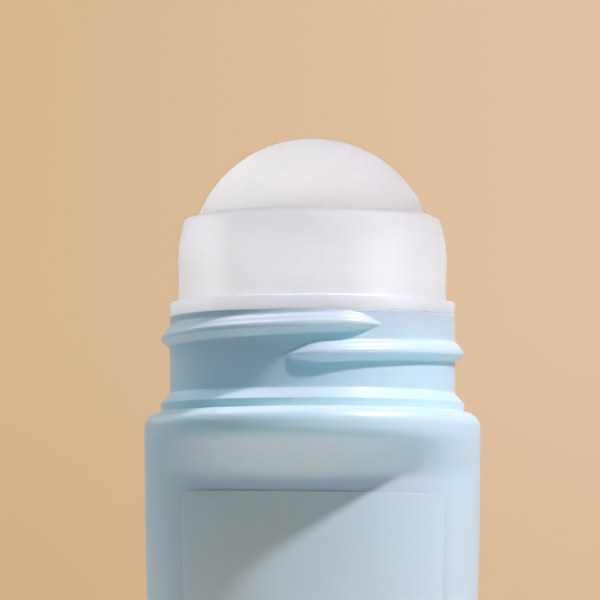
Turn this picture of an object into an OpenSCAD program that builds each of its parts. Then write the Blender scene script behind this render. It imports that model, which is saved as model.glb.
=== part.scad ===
// Roll-on bottle with a ball in a snapped-in housing.
// The base stands at z = 0, the bottle's axis is z, and the labelled front faces -y.

/* [Ball] */
// Diameter of the applicator ball
ball_d = 35.56; // [33:0.01:35.8]
// Wall of the hollow ball
ball_wall = 2.2; // [1:0.1:5]
// Gap between the ball and its socket
ball_gap = 0.15; // [0.05:0.01:0.3]
// Height of the ball's centre above the flange
ball_rise = 6.05; // [4:0.05:7]

/* [Ball housing] */
// Wall of the socket round the ball
socket_wall = 1.47; // [1.2:0.01:2]
// Height of the lip's outer corner above the ball's centre
lip_rise = 6; // [4:0.1:8]
// Rise of the lip's top from its outer corner to the ball
lip_slope = 0.65; // [0.2:0.05:1.2]
// Chamfer on the lip's outer corner
lip_chamfer = 0.5; // [0.1:0.05:0.6]
// Diameter of the straight wall below the ball's centre
housing_d = 38.68; // [37.6:0.01:38.7]
// Diameter of the flange that sits on the neck's rim
flange_d = 41.2; // [40:0.1:44]
// Thickness of the flange
flange_t = 2.07; // [1:0.01:3]
// Round on the flange's upper edge
flange_round = 0.3; // [0.2:0.1:0.9]
// Depth below the flange of the web that joins the skirt to the bowl
web_t = 1.2; // [0.8:0.1:2]
// Length of the plug skirt below the flange
skirt_len = 9; // [6:0.1:12]
// Wall of the plug skirt
skirt_wall = 1.1; // [0.8:0.1:1.3]
// Gap between the skirt and the neck's bore
skirt_gap = 0.05; // [0.02:0.01:0.1]
// Height of the snap bead on the skirt
snap_h = 0.3; // [0.1:0.05:0.5]
// Length of the snap bead along the axis
snap_len = 1.2; // [0.6:0.1:2]
// Depth of the snap bead's middle below the flange
snap_depth = 4; // [3:0.1:5]
// Diameter of the feed hole under the ball
feed_d = 9; // [5:0.5:14]
// Number of feed slots round the bowl
feed_slots = 4; // [2:1:6]
// Width of a feed slot
slot_w = 1.6; // [0.8:0.1:3]
// Distance of a feed slot's end from the axis
slot_reach = 11; // [8:0.5:13]

/* [Neck] */
// Outer diameter of the neck
neck_d = 41.2; // [40.8:0.1:42]
// Wall of the neck
neck_wall = 1.65; // [1.3:0.05:1.8]
// Length of the neck from its bead up to the rim
neck_len = 11.1; // [10.5:0.05:14]
// Chamfer on the edge of the bore
rim_chamfer = 0.4; // [0.1:0.1:0.8]

/* [Thread] */
// Rise of the thread in one turn
thread_pitch = 4.1; // [3.6:0.1:5]
// Height of the thread above the neck
thread_h = 1.25; // [0.6:0.05:2]
// Depth below the rim of the crest's lower edge, where the thread starts
thread_depth = 6.68; // [6.5:0.01:8.5]
// Direction of the thread's lower end, in degrees from the front towards +x
thread_start = -11; // [-180:1:180]
// Length of the thread, in degrees round the neck
thread_sweep = 399; // [270:1:400]
// Run-out at each end of the thread, in degrees
thread_runout = 16; // [8:1:45]
// Length of the gentle upper flank along the axis
thread_upper = 1.45; // [0.8:0.05:1.6]
// Width of the crest along the axis
thread_crest = 0.6; // [0.2:0.05:0.8]
// Length of the steep lower flank along the axis
thread_lower = 1; // [0.3:0.05:1.5]

/* [Bead] */
// Diameter of the bead's lip
bead_d = 43.9; // [42.5:0.1:45]
// Height of the bead's conical top
bead_cone = 1.48; // [0.8:0.01:2.5]
// Height of the bead's edge below the lip
bead_edge = 1.2; // [0.5:0.01:2]
// How far the bead's edge draws in below the lip
bead_undercut = 0.15; // [0.05:0.05:0.6]

/* [Shoulder] */
// Diameter of the round shoulder
shoulder_d = 48.5; // [47:0.1:54]
// Round from the bead out to the shoulder's wall
shoulder_round = 2.3; // [1:0.1:2.5]
// Height of the shoulder's straight wall
shoulder_wall_h = 0.6; // [0.4:0.1:4]
// Height of the brow that slopes in to the front and back
brow_h = 5.55; // [4:0.05:10]
// Run of the soft edges along the brow
brow_soft = 1; // [0.3:0.1:1.5]

/* [Body] */
// Height of the brow's foot above the base
body_h = 48.65; // [40:0.05:70]
// Width of the body at the brow's foot
body_w = 48.3; // [46:0.1:54]
// Depth of the body at the brow's foot
body_d = 35.6; // [33:0.1:44]
// Width of the body at its base
base_w = 42.5; // [38:0.1:50]
// Depth of the body at its base
base_d = 32.4; // [31:0.1:42]
// Wall of the body
body_wall = 1.1; // [0.8:0.05:1.8]
// Round on the base's edge
base_round = 3; // [1:0.1:4]
// Radius of the hollow under the base
dome_r = 12; // [8:0.5:12.5]
// Depth of the hollow under the base
dome_h = 1.4; // [0.6:0.1:3]

/* [Label] */
// Drop from the brow's foot to the label's upper edge
label_drop = 2.45; // [1.5:0.05:6]
// Height of the label
label_h = 38.5; // [20:0.1:40]
// Half the label's width, in degrees round the bottle
label_angle = 54.8; // [30:0.1:58]
// Thickness of the label's film
label_t = 0.12; // [0.06:0.01:0.3]
// Thickness of the adhesive under the film
label_gap = 0.05; // [0.05:0.01:0.1]
// Round on the label's corners
label_corner = 1.4; // [0.5:0.1:4]
// Tilt of the label as applied, in degrees
label_tilt = 0.7; // [-1.5:0.1:1.5]

/* [Hidden] */
$fn = 96;

// Exponent of the body's squarish oval section: 2 is an ellipse
section_power = 2.35;
// Exponent of the sides' draw-in towards the base
bow_power = 2;
// Overrun of each cut past the face that it opens
over = 1;
// Step and overlap where the moulded skin ends inside the turned shoulder
seam_step = 0.04;
seam_lap = 0.5;
// Depth of the thread's root inside the neck's wall
thread_root = 0.2;
// Sections in a full turn of the thread
thread_facets = 54;
// Facets round the skin and round the cavity
skin_facets = 72;
cavity_facets = 48;
// Rings in a round, in a soft edge and up the sides
round_rings = 4;
soft_rings = 3;
side_rings = 6;
// Columns across the label, rows in its corners and rows between them
label_columns = 24;
corner_rows = 4;
label_rows = 6;

ball_r = ball_d / 2;
socket_r = ball_r + ball_gap;
socket_out_r = socket_r + socket_wall;
housing_r = housing_d / 2;
flange_r = flange_d / 2;
neck_r = neck_d / 2;
bore_r = neck_r - neck_wall;
skirt_r = bore_r - skirt_gap;
bead_r = bead_d / 2;
shoulder_r = shoulder_d / 2;
cavity_r = shoulder_r - body_wall;

// Heights, from the brow up to the ball
brow_top_z = body_h + brow_h;
turned_z = brow_top_z + brow_soft;
round_z = turned_z + shoulder_wall_h;
bead_z = round_z + shoulder_round;
bead_lip_z = bead_z + bead_edge;
bead_top_z = bead_lip_z + bead_cone;
rim_z = bead_top_z + neck_len;
flange_z = rim_z + flange_t;
ball_z = flange_z + ball_rise;
lip_z = ball_z + lip_rise;
lip_top_z = lip_z + lip_slope;
snap_z = rim_z - snap_depth;

// The cavity's brow lies higher, which keeps the sloping wall as thick as the sides
brow_angle = atan2(shoulder_r - body_d / 2, brow_h);
brow_lift = body_wall * tan(brow_angle / 2);
cavity_turned_z = turned_z + brow_lift;
cavity_shoulder_z = bead_z - neck_wall;

// Radius of a circle that rises by h over a chord of half width r
function dome_radius(r, h) = (r * r + h * h) / (2 * h);

// Share of the draw-in from the brow's foot (0) to the base (1)
function bow_share(z) = pow(max(0, body_h - z) / body_h, bow_power);
function half_w(z) = (body_w - (body_w - base_w) * bow_share(z)) / 2;
function half_d(z) = (body_d - (body_d - base_d) * bow_share(z)) / 2;

// Distance from the axis to the body's section, in direction phi from +x
function section_r(phi, z) =
    pow(pow(abs(cos(phi)) / half_w(z), section_power)
        + pow(abs(sin(phi)) / half_d(z), section_power), -1 / section_power);

// Distance from the axis to the skin: blend goes from the round shoulder (0) to the section (1)
function skin_r(phi, z, blend) =
    (1 - blend) * (shoulder_r - seam_step) + blend * section_r(phi, z);

// A point of the curve that rounds the corner b between a and c
function soft_corner(a, b, c, t) = (1 - t) * (1 - t) * a + 2 * t * (1 - t) * b + t * t * c;

// Rings are [height, blend, inset], from the base up
function base_ring(t, wall) =
    [wall + (base_round - wall) * (1 - cos(t)), 1, wall + (base_round - wall) * (1 - sin(t))];
function base_rings(wall) = [for (i = [0 : round_rings]) base_ring(90 * i / round_rings, wall)];
function side_rings_up(wall, low_z, high_z) =
    [for (i = [1 : side_rings - 1]) [low_z + (high_z - low_z) * i / side_rings, 1, wall]];
function brow_rings(wall, lift) =
    let (
        slope_share = brow_soft / brow_h,
        foot = [body_h + lift, 1, wall],
        top = [brow_top_z + lift, 0, wall],
        run = [brow_soft, 0, 0],
        low = foot + slope_share * (top - foot),
        high = top - slope_share * (top - foot)
    )
    concat(
        [for (i = [0 : soft_rings]) soft_corner(foot - run, foot, low, i / soft_rings)],
        [for (i = [0 : soft_rings]) soft_corner(high, top, top + run, i / soft_rings)]
    );
function skin_rings(wall, lift) =
    concat(
        base_rings(wall),
        side_rings_up(wall, base_round, body_h + lift - brow_soft),
        brow_rings(wall, lift),
        [[turned_z + lift + seam_lap, 0, wall + seam_step]]
    );

// Closed skin through a list of rings
module skin(rings, facets) {
    count = len(rings);
    points = [
        for (ring = rings)
            for (i = [0 : facets - 1])
                let (phi = 360 * i / facets, r = skin_r(phi, ring[0], ring[1]) - ring[2])
                [r * cos(phi), r * sin(phi), ring[0]]
    ];
    sides = [
        for (k = [0 : count - 2])
            for (i = [0 : facets - 1])
                let (a = k * facets + i, b = k * facets + (i + 1) % facets)
                each [[a, a + facets, b], [b, a + facets, b + facets]]
    ];
    foot = [for (i = [0 : facets - 1]) i];
    head = [for (i = [facets - 1 : -1 : 0]) (count - 1) * facets + i];
    polyhedron(points, concat([foot, head], sides));
}

// Shoulder, bead and neck, turned about the axis
module turned_top() {
    rotate_extrude() {
        translate([0, turned_z])
            square([shoulder_r, shoulder_wall_h]);
        translate([0, turned_z])
            square([shoulder_r - shoulder_round, bead_z - turned_z]);
        intersection() {
            translate([shoulder_r - shoulder_round, round_z])
                circle(shoulder_round);
            translate([0, turned_z])
                square([shoulder_r, bead_z - turned_z]);
        }
        polygon([
            [0, round_z],
            [bead_r - bead_undercut, round_z],
            [bead_r - bead_undercut, bead_z],
            [bead_r, bead_lip_z],
            [neck_r, bead_top_z],
            [neck_r, rim_z],
            [0, rim_z]
        ]);
    }
}

// Snap bead round a wall of radius r, on a root that reaches inwards by depth
module snap_ring(r, depth) {
    rotate_extrude()
        polygon([
            [r - depth, snap_z - snap_len / 2],
            [r, snap_z - snap_len / 2],
            [r + snap_h, snap_z],
            [r, snap_z + snap_len / 2],
            [r - depth, snap_z + snap_len / 2]
        ]);
}

// One section of the thread: four points in radius and height above the crest's lower edge
function thread_section(grow) =
    let (rise = thread_h + thread_root, flank = rise / thread_h)
    [
        [neck_r - thread_root, -thread_lower * flank * grow],
        [neck_r - thread_root + rise * grow, 0],
        [neck_r - thread_root + rise * grow, thread_crest * grow],
        [neck_r - thread_root, (thread_crest + thread_upper * flank) * grow]
    ];

// Size of the thread's section as a share of its full size, at an angle along it
function thread_grow(along) =
    let (end_share = 0.1, reach = min(along, thread_sweep - along) / thread_runout)
    end_share + (1 - end_share) * sin(90 * min(1, reach));

// Right-hand thread with a leaf-shaped run-out at each end
module thread() {
    steps = ceil(thread_sweep / 360 * thread_facets);
    corners = 4;
    points = [
        for (k = [0 : steps])
            let (along = thread_sweep * k / steps, turn = thread_start + along - 90)
            for (p = thread_section(thread_grow(along)))
                [
                    p[0] * cos(turn),
                    p[0] * sin(turn),
                    rim_z - thread_depth + thread_pitch * along / 360 + p[1]
                ]
    ];
    sides = [
        for (k = [0 : steps - 1])
            for (i = [0 : corners - 1])
                let (a = k * corners + i, b = k * corners + (i + 1) % corners)
                each [[a, b, a + corners], [b, b + corners, a + corners]]
    ];
    first = [for (i = [corners - 1 : -1 : 0]) i];
    last = [for (i = [0 : corners - 1]) steps * corners + i];
    polyhedron(points, concat([first, last], sides));
}

// Inside of the neck and shoulder, with the snap groove
module turned_cavity() {
    rotate_extrude()
        polygon([
            [0, cavity_turned_z],
            [cavity_r, cavity_turned_z],
            [bore_r, cavity_shoulder_z],
            [bore_r, rim_z - rim_chamfer],
            [bore_r + rim_chamfer + over, rim_z + over],
            [0, rim_z + over]
        ]);
    snap_ring(bore_r, over);
}

// Hollow under the base, grown by the wall where it shapes the cavity's floor
module base_dome(wall) {
    sphere_r = dome_radius(dome_r, dome_h);
    translate([0, 0, dome_h - sphere_r])
        sphere(sphere_r + wall);
}

module bottle() {
    color([0.70, 0.84, 0.92])
        difference() {
            union() {
                skin(skin_rings(0, 0), skin_facets);
                turned_top();
                thread();
            }
            difference() {
                skin(skin_rings(body_wall, brow_lift), cavity_facets);
                base_dome(body_wall);
            }
            turned_cavity();
            base_dome(0);
        }
}

// Flange and plug: everything of the housing that is turned and isn't part of the sphere
module housing_ring() {
    rotate_extrude() {
        // Flange with its rounded upper edge
        translate([0, rim_z])
            square([flange_r, flange_t - flange_round]);
        translate([0, rim_z])
            square([flange_r - flange_round, flange_t]);
        translate([flange_r - flange_round, flange_z - flange_round])
            circle(flange_round);
        // Straight wall up to the ball's centre
        translate([0, rim_z])
            square([housing_r, ball_z - rim_z]);
        // Web and plug skirt in the bore
        translate([0, rim_z - web_t])
            square([skirt_r, web_t]);
        translate([skirt_r - skirt_wall, rim_z - skirt_len])
            square([skirt_wall, skirt_len]);
    }
    snap_ring(skirt_r, skirt_wall / 2);
}

// Everything above the lip's sloping top and chamfered corner
module lip_cut() {
    shoulder_in_r = sqrt(pow(socket_out_r, 2) - pow(lip_rise, 2)) - lip_chamfer;
    corner_r = sqrt(pow(socket_out_r, 2) - pow(lip_rise - lip_chamfer, 2));
    mouth_r = sqrt(pow(socket_r, 2) - pow(lip_top_z - ball_z, 2));
    slope = lip_slope / (shoulder_in_r - mouth_r);
    rotate_extrude()
        polygon([
            [0, lip_z + slope * shoulder_in_r],
            [shoulder_in_r, lip_z],
            [corner_r, lip_z - lip_chamfer],
            [socket_out_r + over, lip_z - lip_chamfer],
            [socket_out_r + over, ball_z + socket_out_r + over],
            [0, ball_z + socket_out_r + over]
        ]);
}

// Hole and slots that feed the ball from the bottle
module feed_openings() {
    reach = socket_out_r + over;
    translate([0, 0, ball_z - reach]) {
        cylinder(d = feed_d, h = reach);
        for (i = [0 : feed_slots - 1])
            rotate(360 * i / feed_slots)
                translate([feed_d / 4, -slot_w / 2, 0])
                    cube([slot_reach - feed_d / 4, slot_w, reach]);
    }
}

module ball_housing() {
    color([0.93, 0.93, 0.95])
        difference() {
            union() {
                translate([0, 0, ball_z])
                    sphere(socket_out_r);
                housing_ring();
            }
            translate([0, 0, ball_z])
                sphere(socket_r);
            lip_cut();
            feed_openings();
        }
}

module ball() {
    color([0.97, 0.97, 0.97])
        translate([0, 0, ball_z])
            difference() {
                sphere(ball_r);
                sphere(ball_r - ball_wall);
            }
}

// Label rows are [height above its foot, share of its full half angle]
function label_corner_row(t, low) =
    let (
        edge = label_corner * (1 - cos(t)),
        inset_angle = label_corner * (1 - sin(t)) / half_d(body_h) * 180 / PI
    )
    [low ? edge : label_h - edge, label_angle - inset_angle];
function label_all_rows() =
    concat(
        [for (i = [0 : corner_rows]) label_corner_row(90 * i / corner_rows, true)],
        [for (i = [1 : label_rows - 1])
            [label_corner + (label_h - 2 * label_corner) * i / label_rows, label_angle]],
        [for (i = [corner_rows : -1 : 0]) label_corner_row(90 * i / corner_rows, false)]
    );

// A point of the label, at a share from -1 to 1 across it and at a height above the skin
function label_point(row, across, lift) =
    let (
        phi = -90 + across * row[1],
        foot_z = body_h - label_drop - label_h,
        flat_z = foot_z + row[0],
        r = section_r(phi, flat_z) + lift,
        x = r * cos(phi)
    )
    [x, r * sin(phi), flat_z - x * tan(label_tilt)];

module front_label() {
    rows = label_all_rows();
    count = len(rows);
    columns = label_columns + 1;
    layer = count * columns;
    points = [
        for (lift = [label_gap, label_gap + label_t])
            for (row = rows)
                for (c = [0 : label_columns])
                    label_point(row, 2 * c / label_columns - 1, lift)
    ];
    inside = [
        for (k = [0 : count - 2])
            for (c = [0 : label_columns - 1])
                let (a = k * columns + c)
                each [[a, a + 1, a + columns], [a + 1, a + columns + 1, a + columns]]
    ];
    outside = [for (f = inside) [f[2] + layer, f[1] + layer, f[0] + layer]];
    // The film's edge, once round its outline
    outline = concat(
        [for (c = [0 : label_columns - 1]) c],
        [for (k = [0 : count - 2]) k * columns + label_columns],
        [for (c = [label_columns : -1 : 1]) (count - 1) * columns + c],
        [for (k = [count - 1 : -1 : 1]) k * columns]
    );
    edge = [
        for (i = [0 : len(outline) - 1])
            let (a = outline[i], b = outline[(i + 1) % len(outline)])
            each [[b, a, a + layer], [b, a + layer, b + layer]]
    ];
    color([0.78, 0.86, 0.88])
        polyhedron(points, concat(inside, outside, edge));
}

bottle();
ball_housing();
ball();
front_label();
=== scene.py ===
"""Looks of a roll-on bottle: smooth moulded pieces, their finishes, and a plain studio round them.

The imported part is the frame. Lengths are in metres, +Z is up and the labelled front faces -Y.
"""

import logging
import math
from dataclasses import dataclass
from enum import Enum
from typing import Sequence

import bmesh
import bpy
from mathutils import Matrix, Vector


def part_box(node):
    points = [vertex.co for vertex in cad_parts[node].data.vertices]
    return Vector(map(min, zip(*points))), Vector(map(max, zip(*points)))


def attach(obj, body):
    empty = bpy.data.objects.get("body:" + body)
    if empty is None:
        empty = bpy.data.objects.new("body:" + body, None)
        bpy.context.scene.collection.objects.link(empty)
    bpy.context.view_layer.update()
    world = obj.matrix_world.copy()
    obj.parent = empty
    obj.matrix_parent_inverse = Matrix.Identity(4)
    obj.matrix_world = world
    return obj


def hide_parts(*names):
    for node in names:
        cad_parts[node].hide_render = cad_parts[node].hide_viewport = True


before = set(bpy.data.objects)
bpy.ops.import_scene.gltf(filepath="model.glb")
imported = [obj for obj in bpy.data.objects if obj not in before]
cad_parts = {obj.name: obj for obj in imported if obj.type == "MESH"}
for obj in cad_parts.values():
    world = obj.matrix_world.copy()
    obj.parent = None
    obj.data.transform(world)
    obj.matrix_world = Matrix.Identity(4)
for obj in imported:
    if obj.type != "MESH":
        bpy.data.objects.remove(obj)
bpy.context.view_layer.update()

LOG = logging.getLogger("roll_on_bottle")
MM = 0.001
# Points closer than this are one point
MERGE = 0.0005 * MM
# Edges that turn by more than this stay sharp
SHARP_ANGLE = math.radians(38)
BALL_PIECE = "applicator_ball"
HOUSING_PIECE = "ball_housing_moulding"
MILKY_PIECES = (BALL_PIECE, HOUSING_PIECE)
# Parts of the mottle's range over which the tint and the roughness change
TINT_BAND = (0.3, 0.7)
ROUGHNESS_BAND = (0.25, 0.75)
# A corner takes no round where half its angle is above this
FLATTEST = math.radians(88)
# The most of a side that one corner's round takes up
ROUND_SHARE = 0.48

Tint = tuple[float, float, float]
Band = tuple[float, float]
Outline = list[Vector]
Object = bpy.types.Object
Material = bpy.types.Material
Tree = bpy.types.NodeTree
Socket = bpy.types.NodeSocket
Shape = bmesh.types.BMesh


class Body(Enum):
    """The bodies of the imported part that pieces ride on."""

    BOTTLE = "bottle"
    BALL = "ball"


class Slot(Enum):
    """The record's material slots."""

    BOTTLE = "bottle"
    HOUSING = "housing"
    BALL = "ball"
    LABEL = "label"


class SeamPlane(Enum):
    """The coordinate that is constant over a mould's parting plane."""

    FRONT_BACK = "Y"
    UPPER_LOWER = "Z"


# Outlines and turned shapes


@dataclass(frozen=True)
class Corner:
    """A corner of a turned outline, with the round that softens it.

    run is the longest edge on the straight stretch that follows, or zero for no limit.
    """

    r: float
    z: float
    soft: float = 0.0
    run: float = 0.0


def arc(centre: Vector, radius: float, start: float, end: float, steps: int) -> Outline:
    """Points of a circular arc.

    Args:
        centre: Middle of the circle, as radius and height.
        radius: Radius of the circle.
        start: Direction of the first point, in degrees from outwards, up being positive.
        end: Direction of the last point.
        steps: Number of edges.

    Returns:
        The arc's points, both ends included.
    """
    turns = [math.radians(start + (end - start) * i / steps) for i in range(steps + 1)]
    return [centre + radius * Vector((math.cos(a), math.sin(a))) for a in turns]


def rounded_corner(before: Vector, at: Vector, after: Vector, soft: float, steps: int) -> Outline:
    """Points that round one corner, as an arc that touches both its sides.

    Args:
        before: The point before the corner.
        at: The corner.
        after: The point after the corner.
        soft: Radius of the round, drawn in where a side is too short.
        steps: Number of edges in the round.

    Returns:
        The arc's points, or the corner itself where it has no round.
    """
    back, ahead = before - at, after - at
    half = back.angle(ahead, math.pi) / 2
    if soft <= 0 or half > FLATTEST:
        return [at]
    most = ROUND_SHARE * min(back.length, ahead.length)
    reach = min(soft / math.tan(half), most)
    radius = reach * math.tan(half)
    middle = at + (back.normalized() + ahead.normalized()).normalized() * (radius / math.sin(half))
    first = at + back.normalized() * reach - middle
    last = at + ahead.normalized() * reach - middle
    start = math.degrees(math.atan2(first.y, first.x))
    turn = math.degrees(math.atan2(first.cross(last), first.dot(last)))
    return arc(middle, radius, start, start + turn, steps)


def softened(corners: Sequence[Corner], closed: bool = False, steps: int = 4) -> Outline:
    """A turned outline from its corners, with their rounds and evenly divided straights.

    Args:
        corners: The outline's corners in order.
        closed: Whether the last corner joins the first.
        steps: Number of edges in each round.

    Returns:
        The outline's points.
    """
    count = len(corners)
    places = [Vector((c.r, c.z)) for c in corners]
    points: Outline = []
    for i, corner in enumerate(corners):
        if closed or 0 < i < count - 1:
            rounded = rounded_corner(places[i - 1], places[i], places[(i + 1) % count], corner.soft, steps)
        else:
            rounded = [places[i]]
        if i and corners[i - 1].run:
            points += divided(points[-1], rounded[0], corners[i - 1].run)
        points += rounded
    if closed and corners[-1].run:
        points += divided(points[-1], points[0], corners[-1].run)
    return points


def divided(start: Vector, end: Vector, longest: float) -> Outline:
    """Points strictly between two others, spaced evenly and no further apart than the longest edge."""
    count = max(1, math.ceil((end - start).length / longest))
    return [start.lerp(end, i / count) for i in range(1, count)]


def turned(outline: Sequence[Vector], steps: int, closed: bool = False) -> Shape:
    """Spins an outline once round the Z axis.

    Args:
        outline: Points as radius and height.
        steps: Number of faces round the axis.
        closed: Whether the outline is a loop clear of the axis.

    Returns:
        The closed shell, with its faces pointing outwards.
    """
    shape = bmesh.new()
    verts = [shape.verts.new((p.x, 0, p.y)) for p in outline]
    pairs = list(zip(verts, verts[1:]))
    if closed:
        pairs.append((verts[-1], verts[0]))
    edges = [shape.edges.new(pair) for pair in pairs]
    bmesh.ops.spin(
        shape, geom=verts + edges, cent=(0, 0, 0), axis=(0, 0, 1), angle=math.tau, steps=steps, use_merge=True
    )
    bmesh.ops.remove_doubles(shape, verts=shape.verts, dist=MERGE)
    bmesh.ops.recalc_face_normals(shape, faces=shape.faces)
    return shape


def made_piece(name: str, shape: Shape, finish: Material) -> Object:
    """Turns a finished shape into a smooth-shaded object at the origin.

    Args:
        name: Name of the new object.
        shape: The shape, which is freed.
        finish: Its material.

    Returns:
        The new object.
    """
    mesh = bpy.data.meshes.new(name)
    shape.to_mesh(mesh)
    shape.free()
    dress(mesh, finish)
    piece = bpy.data.objects.new(name, mesh)
    bpy.context.scene.collection.objects.link(piece)
    return piece


def dress(mesh: bpy.types.Mesh, finish: Material) -> None:
    """Gives a mesh its one material, and smooth shading up to the sharp angle."""
    mesh.materials.clear()
    mesh.materials.append(finish)
    mesh.polygons.foreach_set("use_smooth", [True] * len(mesh.polygons))
    mesh.set_sharp_from_angle(angle=SHARP_ANGLE)


def box_shape(low: Vector, high: Vector) -> Shape:
    """A closed box between its lowest and its highest corner."""
    shape = bmesh.new()
    bmesh.ops.create_cube(shape, size=1)
    bmesh.ops.scale(shape, vec=high - low, verts=shape.verts)
    bmesh.ops.translate(shape, vec=(low + high) / 2, verts=shape.verts)
    return shape


def cut_from(piece: Object, cutter_shape: Shape) -> None:
    """Cuts a shape out of a piece and keeps the result as the piece's mesh.

    Args:
        piece: The piece to cut.
        cutter_shape: A closed shape, which is freed.
    """
    finish = piece.data.materials[0]
    cutter = made_piece(piece.name + "_cutter", cutter_shape, finish)
    modifier = piece.modifiers.new("cut", "BOOLEAN")
    modifier.operation = "DIFFERENCE"
    modifier.solver = "EXACT"
    modifier.object = cutter
    depsgraph = bpy.context.evaluated_depsgraph_get()
    mesh = bpy.data.meshes.new_from_object(piece.evaluated_get(depsgraph))
    piece.modifiers.remove(modifier)
    piece.data = mesh
    bpy.data.objects.remove(cutter)
    dress(mesh, finish)


# Node trees


class NodeBoard:
    """A node tree with short ways to place nodes and join them."""

    def __init__(self, tree: Tree) -> None:
        """Clears the tree and keeps it."""
        self.tree = tree
        tree.nodes.clear()

    def node(self, kind: str, **settings: object) -> bpy.types.Node:
        """Adds a node.

        Args:
            kind: The node's type name without its ShaderNode or Node prefix.
            settings: Properties to set on it.

        Returns:
            The new node.
        """
        prefix = "Node" if kind.startswith("Group") and kind != "Group" else "ShaderNode"
        made = self.tree.nodes.new(prefix + kind)
        for name, value in settings.items():
            setattr(made, name, value)
        return made

    def put(self, socket: Socket, value: object) -> None:
        """Links an output socket to an input socket, or sets a plain number or colour on it."""
        if isinstance(value, Socket):
            self.tree.links.new(value, socket)
        elif isinstance(value, tuple) and socket.type == "RGBA":
            socket.default_value = (*value, 1)
        else:
            socket.default_value = value

    def math(self, operation: str, *values: object) -> Socket:
        """Result of a math operation on sockets or numbers, given in order."""
        made = self.node("Math", operation=operation)
        for socket, value in zip(made.inputs, values):
            self.put(socket, value)
        return made.outputs[0]

    def spread(
        self, value: object, low: float, high: float, new_low: float = 0.0, new_high: float = 1.0
    ) -> Socket:
        """Maps a value smoothly from one range to another, held at the ends.

        Args:
            value: The value to map.
            low: Start of its range.
            high: End of its range.
            new_low: Result at the start.
            new_high: Result at the end.

        Returns:
            The mapped value.
        """
        made = self.node("MapRange", interpolation_type="SMOOTHSTEP")
        for socket, part in zip(made.inputs, (value, low, high, new_low, new_high)):
            self.put(socket, part)
        return made.outputs[0]

    def noise(self, where: object, scale: float, detail: float = 3, roughness: float = 0.5) -> Socket:
        """Adds a noise pattern.

        Args:
            where: The coordinates that it reads.
            scale: Its waves in a metre.
            detail: Its octaves.
            roughness: The strength of the finer octaves.

        Returns:
            The pattern, about 0 to 1.
        """
        made = self.node("TexNoise")
        self.put(made.inputs["Vector"], where)
        self.put(made.inputs["Scale"], scale)
        self.put(made.inputs["Detail"], detail)
        self.put(made.inputs["Roughness"], roughness)
        return made.outputs["Fac"]

    def mix(self, share: object, first: object, second: object) -> Socket:
        """Mixes two colours, by the second one's share."""
        made = self.node("Mix", data_type="RGBA")
        sockets = {socket.identifier: socket for socket in made.inputs}
        self.put(sockets["Factor_Float"], share)
        self.put(sockets["A_Color"], first)
        self.put(sockets["B_Color"], second)
        return next(socket for socket in made.outputs if socket.identifier == "Result_Color")

    def shaders(self, share: object, first: object, second: object) -> Socket:
        """Mixes two shaders, by the second one's share."""
        made = self.node("MixShader")
        for socket, value in zip(made.inputs, (share, first, second)):
            self.put(socket, value)
        return made.outputs[0]

    def bump(self, height: object, depth: float, normal: object = None) -> Socket:
        """Adds a Bump node.

        Args:
            height: A height from 0 to 1.
            depth: The real depth of the relief.
            normal: A normal to build on, if any.

        Returns:
            The changed normal.
        """
        made = self.node("Bump")
        self.put(made.inputs["Strength"], 1.0)
        self.put(made.inputs["Distance"], depth)
        self.put(made.inputs["Height"], height)
        if normal is not None:
            self.put(made.inputs["Normal"], normal)
        return made.outputs["Normal"]

    def end(self, kind: str, surface: Socket) -> None:
        """Adds the output node, of the kind OutputMaterial or OutputWorld, and links the surface to it."""
        self.put(self.node(kind).inputs["Surface"], surface)

    def grouped(self, tree: Tree, **values: object) -> bpy.types.Node:
        """Places a node group and fills its inputs, named with underscores for spaces."""
        made = self.node("Group", node_tree=tree)
        for name, value in values.items():
            self.put(made.inputs[name.replace("_", " ")], value)
        return made


def new_material(name: str) -> tuple[Material, NodeBoard]:
    """Starts a material, and returns it with its empty board."""
    made = bpy.data.materials.new(name)
    made.use_nodes = True
    return made, NodeBoard(made.node_tree)


def new_group(
    name: str, inputs: dict[str, str], outputs: Sequence[str]
) -> tuple[NodeBoard, bpy.types.Node, bpy.types.Node]:
    """Starts a shader node group.

    Args:
        name: The group's name.
        inputs: Each input's name and its socket kind, Float or Vector.
        outputs: The names of its outputs, which are numbers.

    Returns:
        The group's board, its input node and its output node.
    """
    tree = bpy.data.node_groups.new(name, "ShaderNodeTree")
    board = NodeBoard(tree)
    for label, kind in inputs.items():
        tree.interface.new_socket(label, in_out="INPUT", socket_type="NodeSocket" + kind)
    for label in outputs:
        tree.interface.new_socket(label, in_out="OUTPUT", socket_type="NodeSocketFloat")
    return board, board.node("GroupInput"), board.node("GroupOutput")


def moulded_grain_group() -> Tree:
    """The surface of moulded plastic: fine grain from the tool, and slow waves from cooling.

    Returns:
        A group with outputs Grain, Mottle and Waves, each about 0 to 1.
    """
    inputs = {"Where": "Vector", "Grain Scale": "Float", "Mottle Scale": "Float", "Wave Scale": "Float"}
    board, given, result = new_group("moulded_grain", inputs, ("Grain", "Mottle", "Waves"))
    where = given.outputs["Where"]
    board.put(result.inputs["Grain"], board.noise(where, given.outputs["Grain Scale"], 2, 0.6))
    board.put(result.inputs["Mottle"], board.noise(where, given.outputs["Mottle Scale"], 4, 0.55))
    board.put(result.inputs["Waves"], board.noise(where, given.outputs["Wave Scale"], 1, 0.4))
    return board.tree


def parting_line_group() -> Tree:
    """The thin raised line where two halves of a mould met.

    Returns:
        A group with output Line, 1 on the line and 0 away from it.
    """
    board, given, result = new_group("parting_line", {"Offset": "Float", "Width": "Float"}, ("Line",))
    share = board.math("DIVIDE", board.math("ABSOLUTE", given.outputs["Offset"]), given.outputs["Width"])
    board.put(result.inputs["Line"], board.spread(share, 0.0, 1.0, 1.0, 0.0))
    return board.tree


# Finishes


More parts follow.
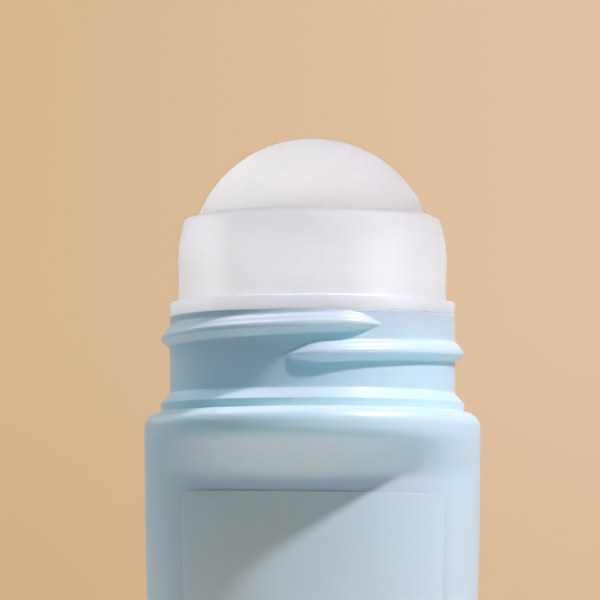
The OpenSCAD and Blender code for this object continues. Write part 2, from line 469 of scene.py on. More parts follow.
@dataclass(frozen=True)
class PlasticFinish:
    """A moulded plastic: its two close tints, gloss, relief and how far light travels in it."""

    name: str
    tint: Tint
    mottle_tint: Tint
    roughness: Band
    # On the ball and the housing the foot's tint is painted light
    foot_tint: Tint
    # Heights between which the foot's tint and glow give way to the others
    foot_band: Band
    foot_glow: float
    glow: float
    glow_radius: Tint
    glow_reach: float
    grain_size: float
    grain_depth: float
    wave_size: float = 14 * MM
    wave_depth: float = 0.03 * MM
    mottle_size: float = 5 * MM
    seam_plane: SeamPlane = SeamPlane.FRONT_BACK
    seam_at: float = 0.0
    seam_width: float = 0.22 * MM
    seam_depth: float = 0.03 * MM
    gloss: float = 0.5

    def material(self, grain: Tree, parting: Tree) -> Material:
        """Builds the material.

        Args:
            grain: The moulded grain group.
            parting: The parting line group.

        Returns:
            The new material.
        """
        made, board = new_material(self.name)
        where = board.node("TexCoord").outputs["Object"]
        relief = board.grouped(
            grain,
            Where=where,
            Grain_Scale=1 / self.grain_size,
            Mottle_Scale=1 / self.mottle_size,
            Wave_Scale=1 / self.wave_size,
        )
        place = board.node("SeparateXYZ")
        board.put(place.inputs[0], where)
        offset = board.math("SUBTRACT", place.outputs[self.seam_plane.value], self.seam_at)
        line = board.grouped(parting, Offset=offset, Width=self.seam_width).outputs["Line"]
        # Light inside the plastic also crosses the hollow behind its wall
        shader = board.node("BsdfPrincipled", subsurface_method="BURLEY")
        mottle = board.spread(relief.outputs["Mottle"], *TINT_BAND)
        # The foot's tint is painted light on the ball and the housing
        above_foot = board.spread(place.outputs["Z"], *self.foot_band)
        tint = board.mix(above_foot, self.foot_tint, board.mix(mottle, self.tint, self.mottle_tint))
        board.put(shader.inputs["Base Color"], tint)
        roughness = board.spread(relief.outputs["Mottle"], *ROUGHNESS_BAND, *self.roughness)
        board.put(shader.inputs["Roughness"], roughness)
        normal = board.bump(relief.outputs["Waves"], self.wave_depth)
        normal = board.bump(relief.outputs["Grain"], self.grain_depth, normal)
        normal = board.bump(line, self.seam_depth, normal)
        board.put(shader.inputs["Normal"], normal)
        board.put(shader.inputs["Specular IOR Level"], self.gloss)
        glow = self.glow
        if self.foot_glow != self.glow:
            glow = board.spread(place.outputs["Z"], *self.foot_band, self.foot_glow, self.glow)
        board.put(shader.inputs["Subsurface Weight"], glow)
        shader.inputs["Subsurface Radius"].default_value = self.glow_radius
        board.put(shader.inputs["Subsurface Scale"], self.glow_reach)
        board.end("OutputMaterial", shader.outputs[0])
        return made


@dataclass(frozen=True)
class FilmFinish:
    """The clear label film: the blue below it, a pale painted highlight along its edge, and its gloss."""

    name: str = "label_film"
    tint: Tint = (0.60, 0.735, 0.865)
    mottle_tint: Tint = (0.612, 0.745, 0.865)
    # Painted highlight: a pale line along the film's edge, where light catches it
    painted_edge_highlight: Tint = (0.69, 0.82, 0.91)
    edge_width: float = 0.22 * MM
    roughness: Band = (0.28, 0.36)
    ripple_size: float = 9 * MM
    ripple_depth: float = 0.02 * MM
    mottle_size: float = 6 * MM
    grain_size: float = 0.35 * MM
    grain_depth: float = 0.002 * MM
    coat: float = 0.25
    coat_roughness: float = 0.12

    def material(self, grain: Tree) -> Material:
        """Builds the material.

        Args:
            grain: The moulded grain group.

        Returns:
            The new material.
        """
        made, board = new_material(self.name)
        where = board.node("TexCoord").outputs["Object"]
        relief = board.grouped(
            grain,
            Where=where,
            Grain_Scale=1 / self.grain_size,
            Mottle_Scale=1 / self.mottle_size,
            Wave_Scale=1 / self.ripple_size,
        )
        edge = board.node("Attribute", attribute_name=FrontLabel.EDGE_LAYER).outputs["Fac"]
        inside = board.spread(edge, 0.4 * self.edge_width, self.edge_width)
        mottle = board.spread(relief.outputs["Mottle"], *TINT_BAND)
        film = board.mix(mottle, self.tint, self.mottle_tint)
        shader = board.node("BsdfPrincipled")
        # The film's edge gets the pale painted highlight
        board.put(shader.inputs["Base Color"], board.mix(inside, self.painted_edge_highlight, film))
        roughness = board.spread(relief.outputs["Mottle"], *ROUGHNESS_BAND, *self.roughness)
        board.put(shader.inputs["Roughness"], roughness)
        normal = board.bump(relief.outputs["Waves"], self.ripple_depth)
        normal = board.bump(relief.outputs["Grain"], self.grain_depth, normal)
        board.put(shader.inputs["Normal"], normal)
        board.put(shader.inputs["Coat Weight"], self.coat)
        board.put(shader.inputs["Coat Roughness"], self.coat_roughness)
        board.end("OutputMaterial", shader.outputs[0])
        return made


# The bottle


@dataclass(frozen=True)
class BodySection:
    """The body below the round shoulder: a squarish oval that a sloping brow leads into."""

    shoulder_r: float
    foot_z: float = 48.65 * MM
    brow_h: float = 5.55 * MM
    brow_soft: float = 1.0 * MM
    width: float = 48.3 * MM
    depth: float = 35.6 * MM
    base_width: float = 42.5 * MM
    base_depth: float = 32.4 * MM
    power: float = 2.35
    bow: float = 2.0

    def half(self, z: float, at_foot: float, at_base: float) -> float:
        """Half the section's size at a height, drawn in towards the base."""
        share = (max(0.0, self.foot_z - z) / self.foot_z) ** self.bow
        return (at_foot + (at_base - at_foot) * share) / 2

    def reach(self, turn: float, z: float) -> float:
        """Distance from the axis to the oval section.

        Args:
            turn: Direction in radians from +X towards +Y.
            z: Height.

        Returns:
            The distance.
        """
        across = abs(math.cos(turn)) / self.half(z, self.width, self.base_width)
        along = abs(math.sin(turn)) / self.half(z, self.depth, self.base_depth)
        return (across**self.power + along**self.power) ** (-1 / self.power)

    def blend(self, z: float) -> float:
        """Share of the oval section at a height: 1 below the brow's foot and 0 above its top."""
        top_z = self.foot_z + self.brow_h
        share = min(1.0, max(0.0, (top_z - z) / self.brow_h))
        soft = self.brow_soft
        if abs(z - self.foot_z) < soft:
            share = 1 - (z - self.foot_z + soft) ** 2 / (4 * soft * self.brow_h)
        if abs(z - top_z) < soft:
            share = (top_z + soft - z) ** 2 / (4 * soft * self.brow_h)
        return share

    def squeeze(self, turn: float, z: float) -> float:
        """Factor from the round shoulder's radius to the skin's."""
        share = self.blend(z)
        return 1 - share + share * self.reach(turn, z) / self.shoulder_r


@dataclass(frozen=True)
class ScrewThread:
    """One right-hand thread of a little over a turn, with a leaf-shaped run-out at each end."""

    foot_z: float
    pitch: float = 4.1 * MM
    height: float = 1.25 * MM
    start: float = -11.0
    sweep: float = 399.0
    runout: float = 16.0
    upper: float = 1.45 * MM
    crest: float = 0.6 * MM
    lower: float = 1.0 * MM
    upper_soft: float = 0.4 * MM
    lower_soft: float = 0.15 * MM
    root_soft: float = 0.15 * MM
    # The upper flank's slight waviness: its height, its run, and where it starts above the crest's upper edge
    ripple: float = 0.045 * MM
    ripple_run: float = 0.86 * MM
    ripple_start: float = 0.2 * MM

    def stand(self, turn: float, z: float) -> float:
        """How far the thread stands above the neck.

        Args:
            turn: Direction in degrees from the front towards +X.
            z: Height.

        Returns:
            The highest turn's stand there, or zero beside the thread.
        """
        along = (turn - self.start) % 360
        most = 0.0
        while along <= self.sweep:
            rise = z - self.foot_z - self.pitch * along / 360
            most = max(most, self.profile(rise, self.grown(along)))
            along += 360
        return most

    def grown(self, along: float) -> float:
        """Size of the thread as a share of its full size, at an angle along it."""
        reach = min(1.0, min(along, self.sweep - along) / self.runout)
        return math.sin(math.radians(90 * reach))

    def profile(self, rise: float, grown: float) -> float:
        """Height of the thread's section at a rise above the lower edge of its crest."""
        top = self.height * grown
        up = rise - self.crest * grown
        wave = self.ripple * grown * math.sin(2 * math.pi * (up - self.ripple_start) / self.ripple_run)
        above = top - up * self.height / self.upper - wave
        below = top + rise * self.height / self.lower
        upper = -eased_max(-above, -top, self.upper_soft * grown)
        section = -eased_max(-upper, -below, self.lower_soft * grown)
        return eased_max(section, 0.0, self.root_soft)


def eased_max(first: float, second: float, soft: float) -> float:
    """The larger of two values, with a round where they meet."""
    near = max(0.0, soft - abs(first - second))
    return max(first, second) + (near * near / (4 * soft) if soft > 0 else 0.0)


@dataclass
class BottleShell:
    """The blow-moulded bottle with its wall: body, shoulder, bead and threaded neck."""

    low: Vector
    high: Vector
    turns: int = 288
    wall: float = 1.1 * MM
    base_round: float = 3.0 * MM
    dome_r: float = 12.0 * MM
    dome_h: float = 1.4 * MM
    shoulder_round: float = 2.3 * MM
    shoulder_wall_h: float = 0.6 * MM
    bead_r: float = 21.95 * MM
    bead_cone: float = 1.48 * MM
    bead_edge: float = 1.2 * MM
    bead_undercut: float = 0.15 * MM
    neck_r: float = 20.6 * MM
    neck_wall: float = 1.65 * MM
    thread_depth: float = 6.68 * MM
    rim_soft: float = 0.15 * MM
    snap_depth: float = 4.0 * MM
    snap_h: float = 0.3 * MM
    snap_len: float = 1.2 * MM
    side_run: float = 1.6 * MM
    brow_run: float = 0.22 * MM
    neck_run: float = 0.1 * MM

    def __post_init__(self) -> None:
        """Works out the heights and the shapes that the bottle's box gives."""
        self.rim_z = self.high.z
        self.shoulder_r = min(self.high.x - self.low.x, self.high.y - self.low.y) / 2
        self.section = BodySection(shoulder_r=self.shoulder_r)
        self.turned_z = self.section.foot_z + self.section.brow_h + self.section.brow_soft
        self.round_z = self.turned_z + self.shoulder_wall_h
        self.bead_z = self.round_z + self.shoulder_round
        self.lip_z = self.bead_z + self.bead_edge
        self.neck_z = self.lip_z + self.bead_cone
        self.bore_r = self.neck_r - self.neck_wall
        self.thread = ScrewThread(foot_z=self.rim_z - self.thread_depth)

    def dome(self, above: float) -> Outline:
        """The hollow base's dome from its middle outwards, or a skin at a distance above it."""
        under = (self.dome_r**2 + self.dome_h**2) / (2 * self.dome_h)
        radius = under + above
        turn = math.degrees(math.acos((radius - self.dome_h) / radius))
        return arc(Vector((0, self.dome_h - under)), radius, 90, 90 - turn, 10)

    def outside(self) -> Outline:
        """Draws the outside.

        Returns:
            Its outline, from the middle of the base up to the bore's edge.
        """
        side_low = self.section.foot_z - self.section.brow_soft
        base = softened(
            [
                Corner(self.dome_r, 0, 0, 1.2 * MM),
                Corner(self.shoulder_r, 0, self.base_round, self.side_run),
                Corner(self.shoulder_r, side_low, 0, self.brow_run),
                Corner(self.shoulder_r, self.turned_z, 0, self.brow_run),
                Corner(self.shoulder_r, self.round_z),
            ],
            steps=8,
        )
        middle = Vector((self.shoulder_r - self.shoulder_round, self.round_z))
        shoulder = arc(middle, self.shoulder_round, 0, 90, 14)
        top = softened(
            [
                Corner(shoulder[-1].x, self.bead_z),
                Corner(self.bead_r - self.bead_undercut, self.bead_z, 0.12 * MM),
                Corner(self.bead_r, self.lip_z, 0.14 * MM),
                Corner(self.neck_r, self.neck_z, 0.45 * MM, self.neck_run),
                Corner(self.neck_r, self.rim_z, self.rim_soft),
                Corner(self.bore_r + 0.4 * MM, self.rim_z, 0.1 * MM),
                Corner(self.bore_r, self.rim_z - 0.4 * MM),
            ]
        )
        return self.dome(0.0)[:-1] + base[:-1] + shoulder[:-1] + top

    def inside(self) -> Outline:
        """Draws the inside.

        Returns:
            Its outline, from below the bore's edge down to the middle of the floor.
        """
        cavity_r = self.shoulder_r - self.wall
        snap_z = self.rim_z - self.snap_depth
        dome = self.dome(self.wall)[::-1]
        down = softened(
            [
                Corner(self.bore_r, snap_z + self.snap_len / 2),
                Corner(self.bore_r + self.snap_h, snap_z, 0.2 * MM),
                Corner(self.bore_r, snap_z - self.snap_len / 2, 0.1 * MM),
                Corner(self.bore_r, self.bead_z - self.neck_wall, 0.8 * MM),
                Corner(cavity_r, self.turned_z + 0.4 * MM, 0.8 * MM, 0.5 * MM),
                Corner(cavity_r, self.section.foot_z, 0, 2.4 * MM),
                Corner(cavity_r, self.wall, self.base_round - self.wall, 2 * MM),
                Corner(dome[0].x, self.wall),
            ],
            steps=5,
        )
        return down[:-1] + dome

    def shape(self) -> Shape:
        """Spins the bottle's outline, then moulds the oval body and the thread into it.

        Returns:
            The closed shell.
        """
        shape = turned(self.outside() + self.inside(), self.turns)
        for vert in shape.verts:
            radius = math.hypot(vert.co.x, vert.co.y)
            if radius < MERGE:
                continue
            turn = math.atan2(vert.co.y, vert.co.x)
            new_radius = radius * self.moulded(radius, turn, vert.co.z)
            if radius > self.neck_r - MERGE and vert.co.z > self.neck_z:
                from_front = math.degrees(turn) + 90
                new_radius += self.thread.stand(from_front, vert.co.z) * self.below_rim(vert.co.z)
            vert.co.xy = vert.co.xy * (new_radius / radius)
        return shape

    def moulded(self, radius: float, turn: float, z: float) -> float:
        """Factor that moves a point of the turned shape onto the oval body.

        Args:
            radius: The point's distance from the axis.
            turn: Its direction in radians.
            z: Its height.

        Returns:
            The factor, which leaves the round hollow under the base as it is.
        """
        edge = self.shoulder_r - self.base_round
        share = min(1.0, max(0.0, (radius - self.dome_r) / (edge - self.dome_r)))
        share = share * share * (3 - 2 * share)
        return 1 + share * (self.section.squeeze(turn, z) - 1)

    def below_rim(self, z: float) -> float:
        """Share of the thread's height that is left near the neck's rim."""
        return min(1.0, max(0.0, (self.rim_z - self.rim_soft - z) / (0.2 * MM)))

    def build(self, finish: Material) -> Object:
        """Makes the bottle and puts it in the frame."""
        return placed(made_piece("bottle_shell", self.shape(), finish), Body.BOTTLE, "bottle")


def placed(piece: Object, body: Body, node: str) -> Object:
    """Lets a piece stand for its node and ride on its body.

    Args:
        piece: The new piece.
        body: The body that it moves with.
        node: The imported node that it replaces.

    Returns:
        The piece.
    """
    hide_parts(node)
    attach(piece, body.value)
    LOG.info("%s: %d faces, rides on %s", piece.name, len(piece.data.polygons), body.value)
    return piece


# The ball and its housing


@dataclass
class BallHousing:
    """The white moulding that holds the ball: lip, socket, flange, feed bowl and plug skirt."""

    ball_z: float
    ball_r: float
    rim_z: float
    turns: int = 240
    gap: float = 0.15 * MM
    socket_wall: float = 1.47 * MM
    lip_rise: float = 6.0 * MM
    lip_slope: float = 0.65 * MM
    lip_soft: float = 0.7 * MM
    wall_r: float = 19.34 * MM
    flange_r: float = 20.6 * MM
    flange_t: float = 2.07 * MM
    flange_soft: float = 0.3 * MM
    web_t: float = 1.2 * MM
    skirt_len: float = 9.0 * MM
    skirt_r: float = 18.9 * MM
    skirt_wall: float = 1.1 * MM
    snap_depth: float = 4.0 * MM
    snap_h: float = 0.3 * MM
    snap_len: float = 1.2 * MM
    feed_r: float = 4.5 * MM
    slot_w: float = 1.6 * MM
    slot_reach: float = 11.0 * MM

    def at_radius(self, sphere_r: float, r: float, side: int) -> float:
        """Height at which a sphere round the ball's centre has a given radius, above (1) or below (-1)."""
        return self.ball_z + side * math.sqrt(sphere_r**2 - r**2)

    def turn_at(self, sphere_r: float, r: float, side: int) -> float:
        """Direction in degrees from the ball's centre to that point."""
        return math.degrees(math.atan2(self.at_radius(sphere_r, r, side) - self.ball_z, r))

    def outline(self) -> Outline:
        """Draws the moulding.

        Returns:
            Its closed outline, from the lip's mouth down the socket and back up outside.
        """
        socket_r = self.ball_r + self.gap
        outer_r = socket_r + self.socket_wall
        centre = Vector((0, self.ball_z))
        mouth_r = math.sqrt(socket_r**2 - (self.lip_rise + self.lip_slope) ** 2)
        lip_r = math.sqrt(outer_r**2 - self.lip_rise**2)
        mouth_turn = self.turn_at(socket_r, mouth_r, 1)
        socket = arc(centre, socket_r, mouth_turn, self.turn_at(socket_r, self.feed_r, -1), 60)
        web_z = self.rim_z - self.web_t
        web_r = math.sqrt(outer_r**2 - (self.ball_z - web_z) ** 2)
        feed_turn = self.turn_at(outer_r, self.feed_r, -1)
        bowl = arc(centre, outer_r, feed_turn, self.turn_at(outer_r, web_r, -1), 30)
        snap_z = self.rim_z - self.snap_depth
        skirt_z = self.rim_z - self.skirt_len
        flange_z = self.rim_z + self.flange_t
        plug = softened(
            [
                Corner(web_r, web_z),
                Corner(self.skirt_r - self.skirt_wall, web_z, 0.1 * MM),
                Corner(self.skirt_r - self.skirt_wall, skirt_z, 0.3 * MM),
                Corner(self.skirt_r, skirt_z, 0.4 * MM),
                Corner(self.skirt_r, snap_z - self.snap_len / 2, 0.1 * MM),
                Corner(self.skirt_r + self.snap_h, snap_z, 0.15 * MM),
                Corner(self.skirt_r, snap_z + self.snap_len / 2, 0.1 * MM),
                Corner(self.skirt_r, self.rim_z, 0.08 * MM),
                Corner(self.flange_r, self.rim_z, 0.12 * MM),
                Corner(self.flange_r, flange_z, self.flange_soft),
                Corner(self.wall_r, flange_z, 0.18 * MM, 1 * MM),
                Corner(self.wall_r, self.at_radius(outer_r, self.wall_r, -1)),
            ],
            steps=5,
        )
        lip_turn = math.degrees(math.asin(self.lip_rise / outer_r))
        soft_turn = math.degrees(self.lip_soft / outer_r)
        side = arc(centre, outer_r, self.turn_at(outer_r, self.wall_r, -1), lip_turn - soft_turn, 30)
        lip = softened(
            [
                Corner(side[-1].x, side[-1].y),
                Corner(lip_r, self.ball_z + self.lip_rise, self.lip_soft),
                Corner(mouth_r, self.ball_z + self.lip_rise + self.lip_slope, 0.12 * MM),
                Corner(socket[1].x, socket[1].y),
            ],
            steps=8,
        )
        return socket[1:] + bowl + plug[1:-1] + side[:-1] + lip[:-1]

    def build(self, finish: Material) -> Object:
        """Makes the housing, cuts its feed slots and puts it in the frame."""
        piece = made_piece(HOUSING_PIECE, turned(self.outline(), self.turns, closed=True), finish)
        low_z = self.ball_z - self.ball_r - self.gap - self.socket_wall - 1 * MM
        for reach_x, reach_y in ((self.slot_reach, self.slot_w / 2), (self.slot_w / 2, self.slot_reach)):
            low = Vector((-reach_x, -reach_y, low_z))
            high = Vector((reach_x, reach_y, self.ball_z))
            cut_from(piece, box_shape(low, high))
        return placed(piece, Body.BOTTLE, "ball_housing")


@dataclass
class ApplicatorBall:
    """The hollow applicator ball."""

    centre: Vector
    radius: float
    wall: float = 2.2 * MM

    def build(self, finish: Material) -> Object:
        """Makes the ball as two concentric skins and puts it in the frame."""
        shape = bmesh.new()
        bmesh.ops.create_icosphere(shape, subdivisions=6, radius=self.radius)
        hollow = bmesh.ops.create_icosphere(shape, subdivisions=5, radius=self.radius - self.wall)
        inner = {face for vert in hollow["verts"] for face in vert.link_faces}
        bmesh.ops.reverse_faces(shape, faces=list(inner))
        bmesh.ops.translate(shape, vec=self.centre, verts=shape.verts)
        return placed(made_piece(BALL_PIECE, shape, finish), Body.BALL, "ball")


# The label


@dataclass
class FrontLabel:
    """The film label, bent onto the front of the body and put on a little askew."""

    EDGE_LAYER = "edge_distance"

    section: BodySection
    drop: float = 2.45 * MM
    height: float = 38.5 * MM
    half_angle: float = 54.8
    gap: float = 0.05 * MM
    thickness: float = 0.12 * MM
    corner: float = 1.4 * MM
    tilt: float = 0.7
    columns: int = 84
    rows: int = 84

    def corner_inset(self, up: float) -> float:
        """How far the label's side draws in at a height above its foot, to round its corners."""
        from_end = min(up, self.height - up)
        if from_end >= self.corner:
            return 0.0
        return self.corner - math.sqrt(max(0.0, self.corner**2 - (self.corner - from_end) ** 2))

    def row_height(self, share: float) -> float:
        """Height of a row above the label's foot, with the rows drawn together at its ends."""
        return self.height * (1 - math.cos(math.pi * share)) / 2

    def build(self, finish: Material) -> Object:
        """Makes the film and puts it in the frame.

        Args:
            finish: Its material.

        Returns:
            The piece.
        """
        shape = bmesh.new()
        bmesh.ops.create_grid(shape, x_segments=self.columns, y_segments=self.rows, size=1)
        layer = shape.verts.layers.float.new(self.EDGE_LAYER)
        front = self.section.half(self.section.foot_z, self.section.depth, self.section.base_depth)
        for vert in shape.verts:
            up = self.row_height((vert.co.y + 1) / 2)
            inset = self.corner_inset(up)
            across = math.sin(math.pi / 2 * vert.co.x)
            half = math.radians(self.half_angle) - inset / front
            turn = across * half
            side = (half - abs(turn)) * front
            vert[layer] = min(side, min(up, self.height - up))
            vert.co = self.on_body(turn, up, self.gap + self.thickness)
        bmesh.ops.recalc_face_normals(shape, faces=shape.faces)
        if sum(face.normal.y for face in shape.faces) > 0:
            bmesh.ops.reverse_faces(shape, faces=shape.faces)
        bmesh.ops.solidify(shape, geom=shape.faces, thickness=self.thickness)
        piece = made_piece("label_film", shape, finish)
        return placed(piece, Body.BOTTLE, "front_label")

    def on_body(self, turn: float, up: float, lift: float) -> Vector:
        """A point of the label.

        Args:
            turn: Direction in radians from the front towards +X.
            up: Height above the label's foot.
            lift: Distance above the body.

        Returns:
            The point, with the label's tilt worked in.
        """
        z = self.section.foot_z - self.drop - self.height + up
        reach = self.section.reach(turn - math.pi / 2, z) + lift
        x = reach * math.sin(turn)
        return Vector((x, -reach * math.cos(turn), z - x * math.tan(math.radians(self.tilt))))


# The studio


@dataclass(frozen=True)
class SoftLamp:
    """A soft panel lamp that looks at the bottle.

    level is the brightness that it gives a facing white surface, with 1 for full white.
    A lamp with glow_in lights those milky pieces alone, as light does that wanders through their walls.
    A lamp with passes leaves those pieces out, for a milky piece that keeps less of its light.
    """

    name: str
    azimuth: float
    elevation: float
    size: float
    level: float
    tint: Tint
    glow_in: tuple[str, ...] = ()
    passes: tuple[str, ...] = ()
    distance: float = 1.0

    def build(self, target: Vector) -> Object:
        """Makes the lamp.

        Args:
            target: The point that it looks at.

        Returns:
            The lamp's object.
        """
        data = bpy.data.lights.new(self.name, "AREA")
        data.shape = "DISK"
        data.size = self.size
        data.energy = self.level * math.pi**2 * self.distance**2
        data.color = self.tint
        lamp = bpy.data.objects.new(self.name, data)
        side, up = math.radians(self.azimuth), math.radians(self.elevation)
        away = Vector((math.sin(side) * math.cos(up), -math.cos(side) * math.cos(up), math.sin(up)))
        lamp.location = target + away * self.distance
        lamp.rotation_euler = away.to_track_quat("Z", "Y").to_euler()
        lamp.visible_camera = False
        if self.glow_in or self.passes:
            named = bpy.data.collections.new(self.name)
            for piece in self.glow_in + self.passes:
                named.objects.link(bpy.data.objects[piece])
            for entry in named.collection_objects:
                entry.light_linking.link_state = "EXCLUDE" if self.passes else "INCLUDE"
            lamp.light_linking.receiver_collection = named
        bpy.context.scene.collection.objects.link(lamp)
        return lamp


@dataclass(frozen=True)
class Studio:
    """The camera, the lamps, and a plain pale floor that curves up into a wall all round."""

    target: Vector = Vector((0, 0, 60 * MM))
    camera_away: float = 745 * MM
    camera_side: float = -1.79 * MM
    eye_z: float = 23.4 * MM
    aim_z: float = 74.43 * MM
    # Focal length in pixels of a 600 pixel picture
    focal_px: float = 5165.0
    picture_px: float = 600.0
    sensor: float = 36.0
    floor_r: float = 1.1
    cove_r: float = 0.6
    wall_h: float = 1.3
    # The floor as it is seen, and its painted bounce light: the tints with which it lights the bottle, a
    # bright warm pool near its foot and teal farther out
    floor_seen: Tint = (0.78, 0.60, 0.43)
    painted_pool_near: Tint = (0.95, 0.79, 0.58)
    painted_bounce_far: Tint = (0.24, 0.36, 0.41)
    # Distances from the bottle between which the near tint gives way to the far one
    floor_fade: Band = (0.03, 0.16)
    # Distances between which the seen floor gives way to the wall's beige
    seen_fade: Band = (0.12, 0.50)
    # Painted shade: the seen wall is darker to the left and towards the floor
    wall_left: Tint = (0.677, 0.468, 0.282)
    wall_right: Tint = (0.760, 0.553, 0.376)
    wall_low_left: Tint = (0.647, 0.436, 0.258)
    wall_low_right: Tint = (0.722, 0.502, 0.327)
    # Places from left to right between which the left tints give way to the right ones
    across_fade: Band = (-0.16, 0.16)
    # Heights on the wall between which the low tints give way to the others
    wall_fade: Band = (0.03, 0.19)
    # Heights between which the floor gives way to the wall
    cove_fade: Band = (0.004, 0.03)
    # Waves in a metre of the paper's grain, and its strength
    paper_grain: float = 90.0
    paper_shade: float = 0.03
    sky_tint: Tint = (0.6, 0.9, 1.0)
    sky_level: float = 0.02
    lamps: tuple[SoftLamp, ...] = (
        SoftLamp("key", 60, 53, 0.07, 1.24, (1.0, 0.97, 1.0), passes=(BALL_PIECE,)),
        SoftLamp("left_above", -105, 62, 0.6, 0.38, (0.9, 1.0, 1.0)),
        SoftLamp("left_back", -125, 25, 0.6, 0.20, (0.7, 0.9, 1.0)),
        SoftLamp("glow_left", -95, 10, 0.6, 0.42, (1.0, 0.88, 0.86), MILKY_PIECES),
        SoftLamp("glow_front_left", -45, 15, 0.7, 0.36, (1.0, 0.94, 0.94), MILKY_PIECES),
        SoftLamp("glow_front_right", 65, 5, 0.6, 0.52, (0.97, 0.96, 1.0), MILKY_PIECES),
        SoftLamp("lip_above", -20, 78, 0.7, 0.42, (1.0, 0.98, 1.0), (HOUSING_PIECE,)),
        SoftLamp("ball_key", 60, 40, 0.3, 0.36, (1.0, 0.96, 1.0), (BALL_PIECE,)),
        SoftLamp("ball_left", -75, 3, 0.2, 1.22, (1.0, 0.96, 0.96), (BALL_PIECE,)),
        SoftLamp("ball_right", 36, 3, 0.2, 1.42, (1.0, 0.94, 0.96), (BALL_PIECE,)),
    )

    def camera(self) -> Object:
        """Makes the camera at the photograph's viewing angle.

        Returns:
            The camera's object.
        """
        data = bpy.data.cameras.new("camera")
        data.sensor_width = self.sensor
        data.lens = self.sensor * self.focal_px / self.picture_px
        data.clip_start = 0.05
        data.clip_end = 20
        view = bpy.data.objects.new("camera", data)
        view.location = (self.camera_side, -self.camera_away, self.eye_z)
        pitch = math.atan2(self.aim_z - self.eye_z, self.camera_away)
        view.rotation_euler = (math.pi / 2 + pitch, 0, 0)
        bpy.context.scene.collection.objects.link(view)
        bpy.context.scene.camera = view
        return view

    def backdrop_material(self) -> Material:
        """Makes the paper of the floor and the wall.

        The floor is matt. It is seen in plain beige, and lights the bottle with painted bounce light: a
        bright warm pool near it and a teal tint farther out. The wall is seen in beige with painted shade,
        darker to the left and towards the floor, and lets soft light in.

        Returns:
            The new material.
        """
        made, board = new_material("backdrop_paper")
        where = board.node("TexCoord").outputs["Object"]
        place = board.node("SeparateXYZ")
        board.put(place.inputs[0], where)
        across = board.spread(place.outputs["X"], *self.across_fade)
        # Painted shade on the seen wall: darker to the left and towards the floor
        low = board.spread(place.outputs["Z"], *self.wall_fade)
        beige = board.mix(across, self.wall_left, self.wall_right)
        low_beige = board.mix(across, self.wall_low_left, self.wall_low_right)
        plain = board.node("Emission").outputs[0]
        board.put(plain.node.inputs["Color"], board.mix(low, low_beige, beige))
        path = board.node("LightPath")
        seen = board.math("MAXIMUM", path.outputs["Is Camera Ray"], path.outputs["Is Glossy Ray"])
        seen = board.math("MAXIMUM", seen, path.outputs["Is Transmission Ray"])
        squares = [board.math("POWER", place.outputs[axis], 2.0) for axis in ("X", "Y")]
        away = board.math("SQRT", board.math("ADD", *squares))
        # Painted bounce light, for lighting rays only: a bright warm pool near the bottle, teal farther out
        painted_bounce = board.mix(board.spread(away, *self.floor_fade), self.painted_pool_near, self.painted_bounce_far)
        floor = board.mix(seen, painted_bounce, self.floor_seen)
        grain = board.mix(board.noise(where, self.paper_grain, 2), (0.0, 0.0, 0.0), floor)
        matt = board.node("BsdfDiffuse").outputs[0]
        board.put(matt.node.inputs["Color"], board.mix(self.paper_shade, floor, grain))
        far = board.math("MULTIPLY", seen, board.spread(away, *self.seen_fade))
        floor = board.shaders(far, matt, plain)
        wall = board.shaders(seen, board.node("BsdfTransparent").outputs[0], plain)
        both = board.shaders(board.spread(place.outputs["Z"], *self.cove_fade), floor, wall)
        board.end("OutputMaterial", both)
        return made

    def stage(self) -> Object:
        """Makes the floor and the wall that it curves up into."""
        floor_z = -0.02 * MM
        outline = [Vector((0, floor_z)), Vector((self.floor_r / 2, floor_z))]
        outline += arc(Vector((self.floor_r, floor_z + self.cove_r)), self.cove_r, -90, 0, 24)
        outline.append(Vector((self.floor_r + self.cove_r, self.wall_h)))
        shape = turned(outline, 96)
        piece = made_piece("backdrop", shape, self.backdrop_material())
        return piece

    def sky(self) -> None:
        """Gives the world a plain pale light."""
        world = bpy.data.worlds.new("studio_air")
        world.use_nodes = True
        bpy.context.scene.world = world
        board = NodeBoard(world.node_tree)
        light = board.node("Background")
        board.put(light.inputs["Color"], self.sky_tint)
        board.put(light.inputs["Strength"], self.sky_level)
        board.end("OutputWorld", light.outputs[0])

    def build(self) -> None:
        """Sets up the whole studio, once the pieces that its glow lamps light are made."""
        bpy.context.scene.view_settings.view_transform = "Standard"
        self.camera()
        self.stage()
        self.sky()
        for lamp in self.lamps:
            lamp.build(self.target)
        LOG.info("studio: %d lamps", len(self.lamps))


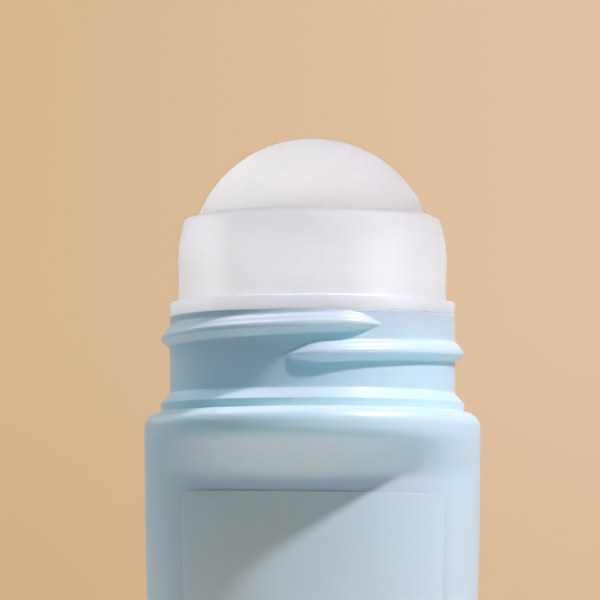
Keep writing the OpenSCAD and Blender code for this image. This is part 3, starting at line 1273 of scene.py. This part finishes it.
BOTTLE_PLASTIC = PlasticFinish(
    name="light_blue_plastic",
    tint=(0.60, 0.755, 0.90),
    mottle_tint=(0.615, 0.765, 0.905),
    roughness=(0.33, 0.42),
    foot_tint=(0.585, 0.745, 0.895),
    foot_band=(2 * MM, 12 * MM),
    foot_glow=0.35,
    glow=0.35,
    glow_radius=(0.05, 0.5, 1.0),
    glow_reach=35 * MM,
    grain_size=0.3 * MM,
    grain_depth=0.004 * MM,
)

HOUSING_PLASTIC = PlasticFinish(
    name="milky_white_plastic",
    tint=(0.94, 0.92, 0.935),
    mottle_tint=(0.95, 0.93, 0.945),
    roughness=(0.36, 0.46),
    # Painted light: a bluish tint on the flange, standing in for the blue bottle's light that shows through
    # the milky plastic
    foot_tint=(0.93, 0.94, 0.99),
    foot_band=(73.5 * MM, 75 * MM),
    foot_glow=0.86,
    glow=1.0,
    glow_radius=(1.0, 1.0, 1.0),
    glow_reach=150 * MM,
    grain_size=0.35 * MM,
    grain_depth=0.003 * MM,
    wave_depth=0.01 * MM,
)

BALL_PLASTIC = PlasticFinish(
    name="frosted_white_plastic",
    tint=(0.92, 0.90, 0.915),
    mottle_tint=(0.955, 0.93, 0.945),
    roughness=(0.60, 0.72),
    # Painted light: the ball is lighter low near the lip than at its top, which lifts the shade there
    foot_tint=(0.985, 0.965, 0.97),
    foot_band=(85 * MM, 96 * MM),
    foot_glow=1.0,
    gloss=0.25,
    glow=1.0,
    glow_radius=(1.0, 1.0, 1.0),
    glow_reach=160 * MM,
    grain_size=0.22 * MM,
    grain_depth=0.012 * MM,
    wave_depth=0.0,
    mottle_size=0.6 * MM,
    seam_plane=SeamPlane.UPPER_LOWER,
    seam_at=80 * MM,
    seam_width=0.18 * MM,
    seam_depth=0.02 * MM,
)


def main() -> None:
    """Builds every piece and the studio."""
    logging.basicConfig(level=logging.INFO, format="%(name)s: %(message)s")
    grain = moulded_grain_group()
    parting = parting_line_group()

    bottle = BottleShell(*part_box("bottle"))
    bottle.build(BOTTLE_PLASTIC.material(grain, parting))

    ball_low, ball_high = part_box("ball")
    centre = (ball_low + ball_high) / 2
    radius = (ball_high.z - ball_low.z) / 2
    BallHousing(centre.z, radius, bottle.rim_z).build(HOUSING_PLASTIC.material(grain, parting))
    ApplicatorBall(centre, radius).build(BALL_PLASTIC.material(grain, parting))
    FrontLabel(bottle.section).build(FilmFinish().material(grain))
    Studio().build()


if __name__ == "__main__":
    main()
